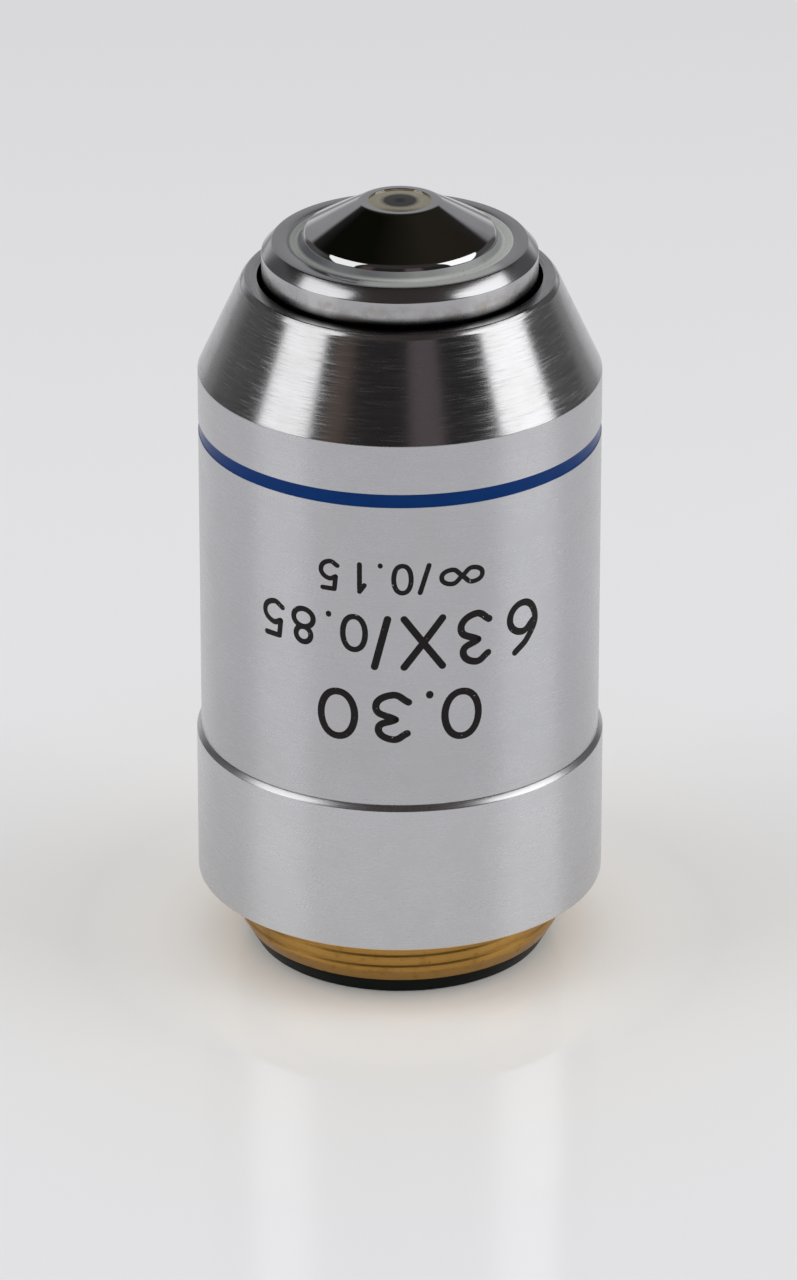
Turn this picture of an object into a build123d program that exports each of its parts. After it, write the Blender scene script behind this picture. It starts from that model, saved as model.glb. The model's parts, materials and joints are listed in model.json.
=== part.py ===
from build123d import *
from math import copysign, sqrt
import os

# A spring-loaded microscope objective, standing on its mounting thread with the front lens up.
# Lengths are millimetres. The optical axis is Z and z = 0 is the end face of the thread.
# Radii are worked outwards from the widest lens, and heights upwards from the thread's end face,
# so each wall, gap and length below can be changed by itself.

# Mounting thread and base band
thread_radius = 10.16
thread_length = 4.7
thread_root_depth = 0.46
lead_in_height = 0.80
end_taper_height = 1.15
end_taper_depth = 0.66
rear_wall = 1.70
rear_bore_depth = 4.3
rear_mouth_bevel = 0.3
band_height = 9.82
band_step = 0.28
band_bevel_height = 0.30
edge_break = 0.12

# Walls and gaps from the widest lens outwards
cell_wall = 1.94
cell_clearance = 0.04
barrel_wall = 1.36
running_clearance = 0.04
guide_wall = 1.40
screwed_clearance = 0.02
collar_wall = 1.18
sleeve_gap = 0.70
sleeve_wall = 1.08

# Sliding nose: how far it retracts, and how far it stands out of the sleeve
nose_travel = 2.5
nose_projection = 2.33
nose_gap = 0.27

# Spring, seated on a web above the rear bore
web_thickness = 2.0
web_ledge = 2.0
spring_length = 8.2
spring_wire = 0.80
spring_turns = 4.5
spring_side_gap = 0.30

# Barrel
neck_wall = 0.70
neck_length = 9.9
barrel_end_recess = 1.0
land_length = 3.5
land_relief = 0.16
slot_depth = 0.80

# Front ring and nose cone
ring_wall = 1.12
ring_bevel_depth = 0.61
ring_bevel_height = 0.75
ring_lip = 0.52
ring_rear_gap = 0.90
skirt_length = 2.5
flange_thickness = 0.80
collar_seat_height = 0.75
trough_width = 0.90
trough_depth = 0.38
nose_wall_height = 0.90
nose_cone_height = 2.03
nose_tip_radius = 2.50
nose_edge_bevel = 0.06
bead_wall_rise = 0.45
bead_lip_rise = 0.30
bead_thickness = 0.12

# Sleeve front
cone_length = 5.85
rim_width = 0.74
rim_bevel_width = 0.23
rim_bevel_height = 0.20
rim_thickness = 1.20
spigot_length = 3.2
groove_below_cone = 3.14
groove_width = 0.85
groove_depth = 0.25
enamel_recess = 0.03

# Stop collar, shim and baffle
collar_lip = 1.40
collar_skirt = 3.7
collar_bore_gap = 0.10
shim_thickness = 0.20
baffle_thickness = 1.20
baffle_ledge = 2.50
spanner_slot_width = 1.00
spanner_slot_depth = 0.50

# Screws
guide_screw_radius = 1.00
guide_dog_radius = 0.70
guide_screw_below_stop = 11.2
guide_screw_proud = 0.20
guide_azimuth = 90
dog_clearance = 0.08
centring_screw_radius = 0.80
centring_screw_count = 3
centring_azimuth = 30
centring_play = 0.36
driver_slot_width = 0.30
driver_slot_depth = 0.45

# Lens seats, shared by all the cells
lens_gap = 0.02
cement_gap = 0.02
lens_cover = 0.30
seat_width = 0.40

# Front lens, nearly a hemisphere, that looks out of the nose
front_lens_radius = 1.90
front_lens_thickness = 2.10
front_lens_curve = 2.30
front_lens_recess = 0.03
front_seat_width = 0.30
front_throat = 0.30

# Meniscus lens
meniscus_cell_height = 3.0
meniscus_radius = 3.70
meniscus_thickness = 1.90
meniscus_rear_curve = 5.60
meniscus_front_curve = -8.00

# Front doublet: flint behind, crown in front
front_spacer_height = 1.2
front_doublet_cell_height = 5.4
front_doublet_radius = 4.60
front_flint_thickness = 1.00
front_flint_rear_curve = 22.00
front_cement_curve = 6.50
front_crown_thickness = 3.60
front_crown_front_curve = 9.00

# Centring doublet: crown behind, flint in front
middle_spacer_height = 1.2
centring_cell_height = 5.6
centring_doublet_radius = 4.40
centring_crown_thickness = 3.20
centring_crown_rear_curve = 10.00
centring_cement_curve = 7.00
centring_flint_thickness = 1.20
centring_flint_front_curve = -18.00

# Rear doublet: flint behind, crown in front
rear_spacer_height = 3.7
rear_spacer_wall = 1.10
stop_thickness = 0.40
stop_opening_radius = 2.60
rear_cell_height = 4.9
rear_doublet_radius = 3.40
rear_flint_thickness = 1.20
rear_flint_rear_curve = -8.00
rear_cement_curve = 9.00
rear_crown_thickness = 2.40
rear_crown_front_curve = 14.00
lock_ring_height = 1.4
lock_ring_wall = 1.60

# Radii that follow from the walls and gaps
cell_radius = front_doublet_radius + lens_gap + cell_wall
barrel_bore = cell_radius + cell_clearance
neck_radius = barrel_bore + neck_wall
barrel_radius = barrel_bore + barrel_wall
guide_bore = barrel_radius + running_clearance
guide_radius = guide_bore + guide_wall
collar_inner = guide_radius + screwed_clearance
collar_radius = collar_inner + collar_wall
sleeve_bore = collar_radius + sleeve_gap
sleeve_radius = sleeve_bore + sleeve_wall
spigot_radius = sleeve_bore - screwed_clearance
band_radius = sleeve_radius + band_step
web_bore = guide_bore - web_ledge
ring_bore = neck_radius + screwed_clearance
ring_radius = ring_bore + ring_wall
ring_mouth = ring_bore - ring_lip
opening_radius = ring_radius + nose_gap
nose_radius = ring_mouth - trough_width
thread_root = thread_radius - thread_root_depth
end_radius = thread_root - end_taper_depth
rear_bore = thread_root - rear_wall
baffle_opening = rear_bore - baffle_ledge
slot_floor = barrel_radius - slot_depth
centring_cell_radius = cell_radius - centring_play
spring_radius = guide_bore - spring_side_gap - spring_wire / 2

# Heights that follow from the lengths, from the thread's end face upwards
shoulder = thread_length
spring_seat = rear_bore_depth + web_thickness
barrel_rear = spring_seat + spring_length
lock_ring_bottom = barrel_rear + barrel_end_recess
rear_cell_bottom = lock_ring_bottom + lock_ring_height
stop_bottom = rear_cell_bottom + rear_cell_height
rear_spacer_bottom = stop_bottom + stop_thickness
centring_cell_bottom = rear_spacer_bottom + rear_spacer_height
middle_spacer_bottom = centring_cell_bottom + centring_cell_height
front_doublet_bottom = middle_spacer_bottom + middle_spacer_height
front_spacer_bottom = front_doublet_bottom + front_doublet_cell_height
meniscus_cell_bottom = front_spacer_bottom + front_spacer_height
skirt_bottom = meniscus_cell_bottom + meniscus_cell_height
barrel_front = skirt_bottom + skirt_length
flange_top = barrel_front + flange_thickness
trough_floor = flange_top + collar_seat_height
ring_top = trough_floor + trough_depth
cone_base = trough_floor + nose_wall_height
nose_tip = cone_base + nose_cone_height
stop_height = barrel_front - neck_length
guide_top = stop_height - shim_thickness
collar_top = stop_height + collar_lip
ring_bottom = collar_top + nose_travel + ring_rear_gap
rim_height = ring_top - nose_projection
sleeve_bottom = shoulder + band_height
spigot_top = sleeve_bottom + spigot_length
cone_start = rim_height - cone_length - rim_bevel_height
groove_top = cone_start - groove_below_cone
guide_screw_height = stop_height - guide_screw_below_stop


def turned(points):
    """Revolve a closed outline of (radius, height) points about the optical axis."""
    outline = Polyline(*[(radius, 0, height) for radius, height in points], close=True)
    return revolve(make_face(outline), Axis.Z)


def ring(inner, outer, bottom, top, bevel=0.0):
    """A plain turned ring, its outer corners broken by a small bevel if one is given."""
    if not bevel:
        return turned([(inner, bottom), (outer, bottom), (outer, top), (inner, top)])
    return turned([
        (inner, bottom), (outer - bevel, bottom), (outer, bottom + bevel),
        (outer, top - bevel), (outer - bevel, top), (inner, top),
    ])


def spanner_slots(outer, face, depth):
    """The bar that cuts two spanner slots across a ring, from its face by a signed depth."""
    middle = face + depth / 2
    return Pos(0, 0, middle) * Box(2 * outer + spanner_slot_width, spanner_slot_width, abs(depth))


def radial_screw(radius, inner, outer, height, azimuth):
    """A screw body that points at the axis, between two radii, at a height and azimuth."""
    body = Pos((inner + outer) / 2, 0, 0) * Rot(0, 90, 0) * Cylinder(radius, outer - inner)
    return Pos(0, 0, height) * Rot(0, 0, azimuth) * body


def driver_slot(radius, outer, height, azimuth):
    """The screwdriver slot across the outer end of a radial screw."""
    size = (2 * driver_slot_depth, 3 * radius, driver_slot_width)
    return Pos(0, 0, height) * Rot(0, 0, azimuth) * Pos(outer, 0, 0) * Box(*size)


# Optics. A curve is the radius of a spherical surface: positive bulges out of the glass,
# negative is dished into it, and a dished surface has a flat rim that the glass sits on.

def sag(curve, radius):
    """How far a surface falls back from its middle at a radius, negative where it is dished."""
    if not curve:
        return 0.0
    return copysign(abs(curve) - sqrt(curve ** 2 - radius ** 2), curve)


def surface(curve, middle, direction, radius):
    """The outline of one surface from the axis to its rim. direction is 1 on top, -1 below."""
    reach = radius if curve >= 0 else radius - seat_width
    points = [(share * reach, 0, middle - direction * sag(curve, share * reach)) for share in (0, 0.5, 1)]
    edges = [ThreePointArc(*points)] if curve else [Line(points[0], points[2])]
    if reach < radius:
        edges.append(Line(points[2], (radius, 0, points[2][2])))
    return edges


def lens(bottom, radius, thickness, below, above):
    """A lens from its lower vertex up, with the curves of its lower and upper surfaces."""
    lower = surface(below, bottom, -1, radius)
    upper = surface(above, bottom + thickness, 1, radius)
    rim = Line(lower[-1] @ 1, upper[-1] @ 1)
    axis = Line((0, 0, bottom), (0, 0, bottom + thickness))
    return revolve(make_face(lower + [rim] + upper + [axis]), Axis.Z)


def doublet(top, radius, lower_thickness, upper_thickness, below, cement, above):
    """A cemented pair, placed by its highest point. cement is the lower glass's upper curve."""
    upper_bottom = top + min(sag(above, radius - seat_width), 0) - upper_thickness
    lower_bottom = upper_bottom - cement_gap - lower_thickness
    lower = lens(lower_bottom, radius, lower_thickness, below, cement)
    upper = lens(upper_bottom, radius, upper_thickness, -cement, above)
    return lower, upper, lower_bottom


def cell(bottom, top, outer, lens_radius, lens_bottom, below):
    """A turned cell, open to the front, whose ledge carries the rear surface of its glass."""
    opening = lens_radius - seat_width
    seat = lens_bottom + sag(below, opening)
    bore = lens_radius + lens_gap
    return turned([
        (opening, bottom), (outer - edge_break, bottom), (outer, bottom + edge_break),
        (outer, top - edge_break), (outer - edge_break, top), (bore + edge_break, top),
        (bore, top - edge_break), (bore, seat), (opening, seat),
    ])


# Fixed side: mount body, sleeve, collar and spring

def mount_body():
    """Base band, nosepiece thread, sleeve spigot and guide tube, turned from one brass bar."""
    body = turned([
        (rear_bore + rear_mouth_bevel, 0), (end_radius, 0), (thread_root, end_taper_height),
        (thread_radius, end_taper_height + lead_in_height), (thread_radius, shoulder),
        (band_radius - edge_break, shoulder), (band_radius, shoulder + edge_break),
        (band_radius, sleeve_bottom - band_bevel_height), (sleeve_radius, sleeve_bottom),
        (spigot_radius, sleeve_bottom), (spigot_radius, spigot_top - edge_break),
        (spigot_radius - edge_break, spigot_top), (guide_radius, spigot_top),
        (guide_radius, guide_top - edge_break), (guide_radius - edge_break, guide_top),
        (guide_bore, guide_top), (guide_bore, spring_seat), (web_bore, spring_seat),
        (web_bore, rear_bore_depth), (rear_bore, rear_bore_depth), (rear_bore, rear_mouth_bevel),
    ])
    hole_radius = guide_screw_radius + screwed_clearance
    return body - radial_screw(hole_radius, barrel_radius, collar_radius, guide_screw_height,
                               guide_azimuth)


def outer_sleeve():
    """The satin sleeve: screwed on the spigot, grooved for its colour band, coned to the rim."""
    rim_outer = opening_radius + rim_width
    cone_top = rim_outer + rim_bevel_width
    slope = (sleeve_radius - cone_top) / cone_length
    under_rim = cone_top + slope * (rim_thickness - rim_bevel_height) - sleeve_wall
    groove_radius = sleeve_radius - groove_depth
    return turned([
        (sleeve_bore, sleeve_bottom), (sleeve_radius, sleeve_bottom),
        (sleeve_radius, groove_top - groove_width), (groove_radius, groove_top - groove_width),
        (groove_radius, groove_top), (sleeve_radius, groove_top), (sleeve_radius, cone_start),
        (cone_top, rim_height - rim_bevel_height), (rim_outer, rim_height),
        (opening_radius, rim_height), (opening_radius, rim_height - rim_thickness),
        (under_rim, rim_height - rim_thickness), (sleeve_bore, cone_start),
    ])


def colour_band():
    """Enamel that fills the groove of the sleeve."""
    return ring(sleeve_radius - groove_depth, sleeve_radius - enamel_recess,
                groove_top - groove_width, groove_top)


def stop_collar():
    """Cap ring on the guide tube. Its lip is the stop that the barrel's step rests under."""
    lip_bore = neck_radius + collar_bore_gap
    body = turned([
        (collar_inner, guide_top - collar_skirt), (collar_radius, guide_top - collar_skirt),
        (collar_radius, collar_top - edge_break), (collar_radius - edge_break, collar_top),
        (lip_bore, collar_top), (lip_bore, stop_height), (collar_inner, stop_height),
    ])
    return body - spanner_slots(collar_radius, collar_top, -spanner_slot_depth)


def parfocal_shim():
    """Thin ring between the guide tube and the collar's lip, chosen when the nose is set."""
    return ring(guide_bore + screwed_clearance, guide_radius - edge_break, guide_top, stop_height)


def guide_screw():
    """Dog-point screw in the guide tube, its dog in the barrel's slot."""
    outer = guide_radius + guide_screw_proud
    dog_tip = slot_floor + dog_clearance
    place = (guide_screw_height, guide_azimuth)
    thread = radial_screw(guide_screw_radius, guide_bore, outer, *place)
    dog = radial_screw(guide_dog_radius, dog_tip, guide_bore, *place)
    return thread + dog - driver_slot(guide_screw_radius, outer, *place)


def rear_baffle():
    """Black ring against the web that stops stray light, turned in with a pin spanner."""
    bottom = rear_bore_depth - baffle_thickness
    body = ring(baffle_opening, rear_bore - screwed_clearance, bottom, rear_bore_depth)
    return body - spanner_slots(rear_bore, bottom, spanner_slot_depth)


def return_spring():
    """Compression spring with ends ground flat, between the web and the barrel."""
    path = Helix(spring_length / spring_turns, spring_length, spring_radius)
    section = Plane(path @ 0, z_dir=path % 0) * Circle(spring_wire / 2)
    coil = Pos(0, 0, spring_seat) * sweep(section, path=path, is_frenet=True)
    space = Pos(0, 0, spring_seat + spring_length / 2) * Cylinder(guide_bore, spring_length)
    return coil & space


# Sliding side: barrel, nose and the lens stack

def lens_barrel():
    """Sliding barrel: two guide lands, a stop step, a neck for the front ring, and a slot."""
    relief = barrel_radius - land_relief
    body = turned([
        (barrel_bore, barrel_rear), (barrel_radius - edge_break, barrel_rear),
        (barrel_radius, barrel_rear + edge_break), (barrel_radius, barrel_rear + land_length),
        (relief, barrel_rear + land_length + land_relief),
        (relief, stop_height - land_length - land_relief),
        (barrel_radius, stop_height - land_length), (barrel_radius, stop_height),
        (neck_radius, stop_height), (neck_radius, barrel_front - edge_break),
        (neck_radius - edge_break, barrel_front), (barrel_bore, barrel_front),
    ])
    half_width = guide_dog_radius + dog_clearance
    slot_bottom = guide_screw_height - half_width
    slot_height = nose_travel + 2 * half_width
    cutter = Pos(slot_floor + barrel_wall / 2, 0, 0) * Box(barrel_wall, 2 * half_width, slot_height)
    slot = Pos(0, 0, slot_bottom + slot_height / 2) * Rot(0, 0, guide_azimuth) * cutter
    return body - slot - centring_holes()


def centring_places():
    """Azimuths of the centring screws, which keep clear of the guide slot."""
    step = 360 / centring_screw_count
    return [centring_azimuth + step * index for index in range(centring_screw_count)]


def centring_height():
    """The screws bear on the middle of the centring cell."""
    return centring_cell_bottom + centring_cell_height / 2


def centring_holes():
    """Tapped holes through the barrel for the centring screws."""
    hole = centring_screw_radius + screwed_clearance
    return [radial_screw(hole, centring_cell_radius, guide_bore, centring_height(), azimuth)
            for azimuth in centring_places()]


def centring_screws():
    """Set screws, sunk below the barrel's surface, that push the centring cell sideways."""
    outer = barrel_radius - 2 * land_relief
    height = centring_height()
    screws = [
        radial_screw(centring_screw_radius, centring_cell_radius, outer, height, azimuth)
        - driver_slot(centring_screw_radius, outer, height, azimuth)
        for azimuth in centring_places()
    ]
    return Compound(children=screws)


def front_ring():
    """Chrome ring on the barrel's neck. Its lip clamps the flange of the nose cone."""
    return turned([
        (ring_bore, ring_bottom), (ring_radius - edge_break, ring_bottom),
        (ring_radius, ring_bottom + edge_break), (ring_radius, ring_top - ring_bevel_height),
        (ring_radius - ring_bevel_depth, ring_top), (ring_mouth, ring_top),
        (ring_mouth, flange_top), (ring_bore, flange_top),
    ])


def front_lens_bottom():
    """Rear vertex of the front lens, whose flat face is sunk a little into the tip."""
    return nose_tip - front_lens_recess - front_lens_thickness


def nose_cone():
    """Front lens cell: skirt in the barrel, clamped flange, trough, and polished cone."""
    throat = front_lens_radius - front_seat_width
    seat = front_lens_bottom() + sag(front_lens_curve, throat)
    bore = front_lens_radius + lens_gap
    shank = ring_mouth - screwed_clearance
    return turned([
        (meniscus_radius + lens_gap, skirt_bottom), (cell_radius - edge_break, skirt_bottom),
        (cell_radius, skirt_bottom + edge_break), (cell_radius, barrel_front),
        (neck_radius - edge_break, barrel_front), (neck_radius - edge_break, flange_top),
        (shank, flange_top), (shank, trough_floor), (nose_radius, trough_floor),
        (nose_radius, cone_base - nose_edge_bevel), (nose_radius - nose_edge_bevel, cone_base),
        (nose_tip_radius, nose_tip), (bore, nose_tip), (bore, seat), (throat, seat),
        (throat, seat - front_throat),
    ])


def front_lens():
    """Nearly hemispherical front element, flat towards the specimen."""
    return lens(front_lens_bottom(), front_lens_radius, front_lens_thickness, front_lens_curve, 0.0)


def sealing_bead():
    """Sealant run into the trough, where it climbs the cone's wall and the ring's lip."""
    inner = nose_radius + cement_gap
    foot = (inner, 0, trough_floor)
    corner = (ring_mouth, 0, trough_floor)
    lip = (ring_mouth, 0, trough_floor + bead_lip_rise)
    hollow = ((inner + ring_mouth) / 2, 0, trough_floor + bead_thickness)
    wall = (inner, 0, trough_floor + bead_wall_rise)
    edges = [Line(foot, corner), Line(corner, lip), ThreePointArc(lip, hollow, wall), Line(wall, foot)]
    return revolve(make_face(edges), Axis.Z)


def meniscus_group():
    """Meniscus lens, dished towards the front lens, in its own cell."""
    rim = skirt_bottom - lens_cover
    vertex = rim + sag(meniscus_front_curve, meniscus_radius - seat_width)
    bottom = vertex - meniscus_thickness
    glass = lens(bottom, meniscus_radius, meniscus_thickness, meniscus_rear_curve, meniscus_front_curve)
    holder = cell(meniscus_cell_bottom, skirt_bottom, cell_radius,
                  meniscus_radius, bottom, meniscus_rear_curve)
    return holder, glass


def front_doublet_group():
    """Cemented pair that does most of the colour correction."""
    top = front_spacer_bottom - lens_cover
    flint, crown, bottom = doublet(
        top, front_doublet_radius, front_flint_thickness, front_crown_thickness,
        front_flint_rear_curve, -front_cement_curve, front_crown_front_curve)
    holder = cell(front_doublet_bottom, front_spacer_bottom, cell_radius,
                  front_doublet_radius, bottom, front_flint_rear_curve)
    return holder, crown, flint


def centring_group():
    """Cemented pair in a narrower cell, so that its screws can shift it sideways."""
    top = middle_spacer_bottom - lens_cover
    crown, flint, bottom = doublet(
        top, centring_doublet_radius, centring_crown_thickness, centring_flint_thickness,
        centring_crown_rear_curve, centring_cement_curve, centring_flint_front_curve)
    holder = cell(centring_cell_bottom, middle_spacer_bottom, centring_cell_radius,
                  centring_doublet_radius, bottom, centring_crown_rear_curve)
    return holder, crown, flint


def rear_group():
    """Rear cemented pair, dished towards the eyepiece side."""
    top = stop_bottom - lens_cover
    flint, crown, bottom = doublet(
        top, rear_doublet_radius, rear_flint_thickness, rear_crown_thickness,
        rear_flint_rear_curve, -rear_cement_curve, rear_crown_front_curve)
    holder = cell(rear_cell_bottom, stop_bottom, cell_radius,
                  rear_doublet_radius, bottom, rear_flint_rear_curve)
    return holder, crown, flint


def rear_lock_ring():
    """Screwed ring that clamps the lens stack from behind, with two spanner slots."""
    outer = barrel_bore - screwed_clearance
    body = ring(outer - lock_ring_wall, outer, lock_ring_bottom, rear_cell_bottom, edge_break)
    return body - spanner_slots(barrel_bore, lock_ring_bottom, spanner_slot_depth)


meniscus_cell, meniscus_lens = meniscus_group()
front_doublet_cell, front_doublet_crown, front_doublet_flint = front_doublet_group()
centring_cell, centring_crown, centring_flint = centring_group()
rear_cell, rear_crown, rear_flint = rear_group()

pieces = {
    "mount_body": mount_body(),
    "outer_sleeve": outer_sleeve(),
    "colour_band": colour_band(),
    "stop_collar": stop_collar(),
    "parfocal_shim": parfocal_shim(),
    "guide_screw": guide_screw(),
    "rear_baffle": rear_baffle(),
    "return_spring": return_spring(),
    "lens_barrel": lens_barrel(),
    "front_ring": front_ring(),
    "nose_cone": nose_cone(),
    "front_lens": front_lens(),
    "sealing_bead": sealing_bead(),
    "meniscus_cell": meniscus_cell,
    "meniscus_lens": meniscus_lens,
    "front_spacer": ring(front_doublet_radius, cell_radius, front_spacer_bottom,
                         meniscus_cell_bottom, edge_break),
    "front_doublet_cell": front_doublet_cell,
    "front_doublet_crown": front_doublet_crown,
    "front_doublet_flint": front_doublet_flint,
    "middle_spacer": ring(front_doublet_radius, cell_radius, middle_spacer_bottom,
                          front_doublet_bottom, edge_break),
    "centring_cell": centring_cell,
    "centring_crown": centring_crown,
    "centring_flint": centring_flint,
    "centring_screws": centring_screws(),
    "rear_spacer": ring(cell_radius - rear_spacer_wall, cell_radius, rear_spacer_bottom,
                        centring_cell_bottom, edge_break),
    "aperture_stop": ring(stop_opening_radius, cell_radius, stop_bottom, rear_spacer_bottom),
    "rear_cell": rear_cell,
    "rear_crown": rear_crown,
    "rear_flint": rear_flint,
    "rear_lock_ring": rear_lock_ring(),
}

os.makedirs("parts", exist_ok=True)
for name, shape in pieces.items():
    export_step(shape, f"parts/{name}.step")

print(f"pieces {len(pieces)}, height {nose_tip:.2f} mm, diameter {2 * band_radius:.2f} mm")
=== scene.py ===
# %% [markdown]
# A microscope objective, finished for its portrait.
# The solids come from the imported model, in metres, and stand where they belong: z = 0 is the end
# face of the mounting thread and Z is the optical axis. This file never moves them. It turns the
# visible pieces again with finer corners, cuts the thread and the numbers, gives every surface its
# finish, and sets up the table, the light and the camera.

# %% Load the frame
import json
import math

import bmesh
import bpy
from mathutils import Matrix, Vector


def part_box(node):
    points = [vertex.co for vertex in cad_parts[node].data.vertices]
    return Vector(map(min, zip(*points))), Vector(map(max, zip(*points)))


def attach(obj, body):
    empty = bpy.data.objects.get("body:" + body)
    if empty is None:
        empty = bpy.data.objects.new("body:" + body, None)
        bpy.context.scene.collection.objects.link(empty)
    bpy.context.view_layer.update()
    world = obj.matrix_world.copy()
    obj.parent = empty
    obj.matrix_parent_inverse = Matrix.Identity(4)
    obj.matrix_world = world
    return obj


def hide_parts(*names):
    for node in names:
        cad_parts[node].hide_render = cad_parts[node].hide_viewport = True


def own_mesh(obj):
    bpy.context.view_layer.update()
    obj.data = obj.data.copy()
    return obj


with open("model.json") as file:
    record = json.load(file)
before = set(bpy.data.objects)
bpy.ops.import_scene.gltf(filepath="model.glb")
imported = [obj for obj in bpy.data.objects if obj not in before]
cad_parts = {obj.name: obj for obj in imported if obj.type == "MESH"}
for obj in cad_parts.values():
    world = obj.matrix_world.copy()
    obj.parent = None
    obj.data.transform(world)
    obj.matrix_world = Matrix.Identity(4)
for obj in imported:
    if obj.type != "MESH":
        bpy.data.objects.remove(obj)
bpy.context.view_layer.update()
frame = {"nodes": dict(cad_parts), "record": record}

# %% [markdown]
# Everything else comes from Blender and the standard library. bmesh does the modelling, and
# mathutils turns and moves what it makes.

MM = 0.001


def show(thing):
    """Put an object into the scene."""
    bpy.context.scene.collection.objects.link(thing)


# %% [markdown]
# Sizes are read from the frame wherever it holds them: a turned piece's box gives its outer
# radius and its two ends, and the mounts give the thread. Only the small steps and bevels
# between them are written here, in millimetres times MM.

# %% Read the sizes from the frame
mounts = {mount["name"]: mount for mount in frame["record"]["mounts"]}


def bottom(node):
    """Height of a node's lowest point."""
    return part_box(node)[0].z


def top(node):
    """Height of a node's highest point."""
    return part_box(node)[1].z


def outer(node):
    """Outer radius of a turned node, which stands on the axis."""
    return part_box(node)[1].x


shoulder = mounts["seating_shoulder"]["pos_m"][2]
thread_radius = mounts["nosepiece_thread"]["dims"]["r_mm"] * MM
band_radius = outer("mount_body")
sleeve_radius = outer("outer_sleeve")
sleeve_bottom = bottom("outer_sleeve")
rim_height = top("outer_sleeve")

# %% [markdown]
# The camera stands where the photographer's stood. Its place was solved from the ellipses that
# the turned edges make in the picture: about 0.44 m in front, 0.22 m above the seating shoulder,
# looking 24.9 degrees down through a long lens. A long lens keeps the cylinder's sides almost
# parallel, so distance and lens matter more here than in most scenes.

# %% Place the camera
CAMERA_DISTANCE = 438.3 * MM
CAMERA_ABOVE_SHOULDER = 218.8 * MM
CAMERA_ASIDE = -0.087 * MM
CAMERA_PITCH = math.radians(24.916)
LENS = 218.72
SENSOR = 36.0

camera_data = bpy.data.cameras.new("camera")
camera_data.lens = LENS
camera_data.sensor_width = SENSOR
camera_data.clip_start = 0.01
camera_data.clip_end = 20
camera = bpy.data.objects.new("camera", camera_data)
camera.location = (CAMERA_ASIDE, -CAMERA_DISTANCE, shoulder + CAMERA_ABOVE_SHOULDER)
camera.rotation_euler = (math.pi / 2 - CAMERA_PITCH, 0, 0)
show(camera)
bpy.context.scene.camera = camera
bpy.context.scene.view_settings.view_transform = "Standard"

# %% [markdown]
# Materials are written as expressions. A Wire is one output of a node, and adding, multiplying
# or comparing wires adds the Math nodes that do it. A Graph holds one node tree, of a material
# or of the world, and its add method makes any other node from a type, its settings and its
# inputs. A Finish is the Graph of one material, and knows where a point is on the object.

# %% Wrap a socket so that it works in arithmetic
class Wire:
    """One output socket that can be used in Python arithmetic."""

    def __init__(self, graph, socket):
        self.graph = graph
        self.socket = socket

    def math(self, operation, *values, clamp=False):
        inputs = dict(enumerate((self, *values)))
        settings = {"operation": operation, "use_clamp": clamp}
        return self.graph.add("ShaderNodeMath", settings, inputs)

    def __add__(self, other):
        return self.math("ADD", other)

    __radd__ = __add__

    def __mul__(self, other):
        return self.math("MULTIPLY", other)

    def __sub__(self, other):
        return self.math("SUBTRACT", other)

    def __rsub__(self, other):
        return (self * -1) + other

    def __truediv__(self, other):
        return self.math("DIVIDE", other)

    def above(self, edge, blur):
        """0 below an edge and 1 above it, with a blurred step between."""
        return ((self - (edge - blur / 2)) / blur).math("ADD", 0.0, clamp=True)

    def below(self, edge, blur):
        """1 below an edge and 0 above it."""
        return 1 - self.above(edge, blur)

    def between(self, low, high, blur):
        """1 between two edges and 0 outside them."""
        return self.above(low, blur) * self.below(high, blur)


# %% Wrap a node tree
class Graph:
    """A node tree and the few helpers that every finish here needs."""

    def __init__(self, tree):
        self.tree = tree

    def feed(self, socket, value):
        """Link a wire to a socket, or set the socket's own value."""
        if isinstance(value, Wire):
            self.tree.links.new(value.socket, socket)
        else:
            socket.default_value = value

    def add(self, kind, settings=None, inputs=None, output=0):
        """Add one node: its settings first, then its inputs. Returns one of its outputs."""
        node = self.tree.nodes.new(kind)
        for name, value in (settings or {}).items():
            setattr(node, name, value)
        for key, value in (inputs or {}).items():
            self.feed(node.inputs[key], value)
        return Wire(self, node.outputs[output])

    def split(self, vector):
        """The three numbers of a vector."""
        node = self.tree.nodes.new("ShaderNodeSeparateXYZ")
        self.feed(node.inputs[0], vector)
        return [Wire(self, output) for output in node.outputs]

    def join(self, x, y, z):
        """A vector from three numbers."""
        return self.add("ShaderNodeCombineXYZ", None, {0: x, 1: y, 2: z})

    def blend(self, mask, first, second):
        """The first colour where the mask is 0, the second where it is 1."""
        return self.add("ShaderNodeMix", {"data_type": "RGBA"}, {0: mask, 6: first, 7: second}, 2)

    def noise(self, vector, detail, roughness=0.5):
        """Noise from 0 to 1 over a vector."""
        inputs = {"Vector": vector, "Scale": 1.0, "Detail": detail, "Roughness": roughness}
        return self.add("ShaderNodeTexNoise", None, inputs)


class Finish(Graph):
    """A material: its tree, its Principled shader, and where a point is on the object."""

    def __init__(self, name, **constants):
        self.material = bpy.data.materials.new(name)
        self.material.use_nodes = True
        super().__init__(self.material.node_tree)
        self.shader = self.tree.nodes["Principled BSDF"]
        for socket, value in constants.items():
            self.set(socket.replace("_", " "), value)
        self.x, self.y, self.z = self.split(self.add("ShaderNodeTexCoord", output=3))
        self.radius = (self.x * self.x + self.y * self.y).math("SQRT")

    def set(self, socket, value):
        """Set or link one input of the Principled shader."""
        self.feed(self.shader.inputs[socket], value)

    def colour(self, mask, first, second):
        """Give the surface the first colour where the mask is 0, the second where it is 1."""
        self.set("Base Color", self.blend(mask, first, second))

    def bump(self, height, depth):
        """Raise the surface by height, a number from 0 to 1, times depth in metres."""
        inputs = {"Height": height, "Distance": depth, "Strength": 1.0}
        self.set("Normal", self.add("ShaderNodeBump", None, inputs))


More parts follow.
